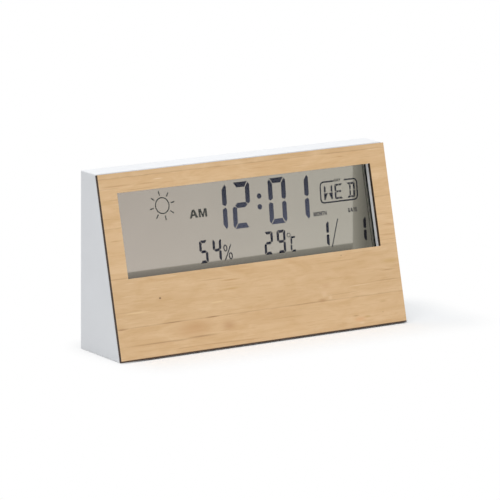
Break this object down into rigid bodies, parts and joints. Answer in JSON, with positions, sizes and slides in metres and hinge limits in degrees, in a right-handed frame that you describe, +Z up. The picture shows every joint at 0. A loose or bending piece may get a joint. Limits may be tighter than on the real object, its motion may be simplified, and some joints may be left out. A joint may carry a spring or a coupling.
{
  "type": "weather station",
  "caption": "Wedge-shaped desk weather station: white case, thin bamboo front, sunk liquid crystal display, keys and a battery door on the back.",
  "frame": {"origin": "on the table, under the middle of the case's bounding box", "axes": "+X to the viewer's right along the case, +Y to the back, +Z up; the display faces -Y"},
  "size_m": [0.14, 0.0316, 0.0735],
  "materials": {
    "case_plastic": "white satin moulding",
    "bamboo": "bamboo, clear matt lacquer, charred cut edges",
    "tape": "black double-sided foam tape",
    "lens": "clear acrylic",
    "polariser": "grey-green film",
    "glass": "display glass",
    "reflector": "reflective film",
    "frame_plastic": "black moulding",
    "strip_rubber": "silicone with conducting layers",
    "board": "green solder mask",
    "resin": "black resin",
    "tin_plate": "tin-plated steel",
    "nickel_steel": "nickel-plated steel",
    "capacitor_sleeve": "aluminium can",
    "sensor_plastic": "white",
    "thermistor_resin": "dark resin",
    "switch_plastic": "black",
    "plunger_plastic": "ivory",
    "ribbon": "grey flat cable",
    "brass": "bare brass",
    "piezo_ceramic": "silvered ceramic",
    "cell_can": "printed wrap on a metal can",
    "red_lead": "red insulation",
    "black_lead": "black insulation"
  },
  "bodies": {
    "case": {"housing": "case_plastic", "front_panel": "bamboo", "panel_tape": "tape", "lens_tape": "tape", "lens": "lens", "front_polariser": "polariser", "front_glass": "glass", "rear_glass": "glass", "reflector": "reflector", "lcd_frame": "frame_plastic", "contact_strips": "strip_rubber", "main_board": "board", "processor_cap": "resin", "crystal": "tin_plate", "board_capacitors": "capacitor_sleeve", "humidity_sensor": "sensor_plastic", "thermistor": "thermistor_resin", "board_screws": "nickel_steel", "key_board": "board", "key_board_screws": "nickel_steel", "ribbon_cable": "ribbon", "switch_bodies": "switch_plastic", "rear_cover": "case_plastic", "cover_screws": "nickel_steel", "buzzer_plate": "brass", "buzzer_ceramic": "piezo_ceramic", "buzzer_leads": "red_lead", "contact_bridge": "nickel_steel", "contact_positive": "nickel_steel", "contact_negative": "nickel_steel", "spring_bridge": "nickel_steel", "spring_negative": "nickel_steel", "cell_lower": "cell_can", "cell_upper": "cell_can", "lead_positive": "red_lead", "lead_negative": "black_lead"},
    "mode_button": {"mode_key": "case_plastic", "mode_plunger": "plunger_plastic"},
    "set_button": {"set_key": "case_plastic", "set_plunger": "plunger_plastic"},
    "up_button": {"up_key": "case_plastic", "up_plunger": "plunger_plastic"},
    "down_button": {"down_key": "case_plastic", "down_plunger": "plunger_plastic"},
    "unit_button": {"unit_key": "case_plastic", "unit_plunger": "plunger_plastic"},
    "door": {"battery_door": "case_plastic", "battery_door_latch": "case_plastic"}
  },
  "joints": [
    {"name": "mode_press", "type": "slide", "parent": "case", "child": "mode_button", "axis": [0, -1, 0], "range_m": [0, 0.0003], "stiffness_N_per_m": 1500},
    {"name": "set_press", "type": "slide", "parent": "case", "child": "set_button", "axis": [0, -1, 0], "range_m": [0, 0.0003], "stiffness_N_per_m": 1500},
    {"name": "up_press", "type": "slide", "parent": "case", "child": "up_button", "axis": [0, -1, 0], "range_m": [0, 0.0003], "stiffness_N_per_m": 1500},
    {"name": "down_press", "type": "slide", "parent": "case", "child": "down_button", "axis": [0, -1, 0], "range_m": [0, 0.0003], "stiffness_N_per_m": 1500},
    {"name": "unit_press", "type": "slide", "parent": "case", "child": "unit_button", "axis": [0, -1, 0], "range_m": [0, 0.0003], "stiffness_N_per_m": 1500},
    {"name": "battery_door_hinge", "type": "hinge", "parent": "case", "child": "door", "pos_m": [0, 0.01575, 0.0048], "axis": [-1, 0, 0], "range_deg": [0, 75], "deforming": ["battery_door_latch"]}
  ]
}
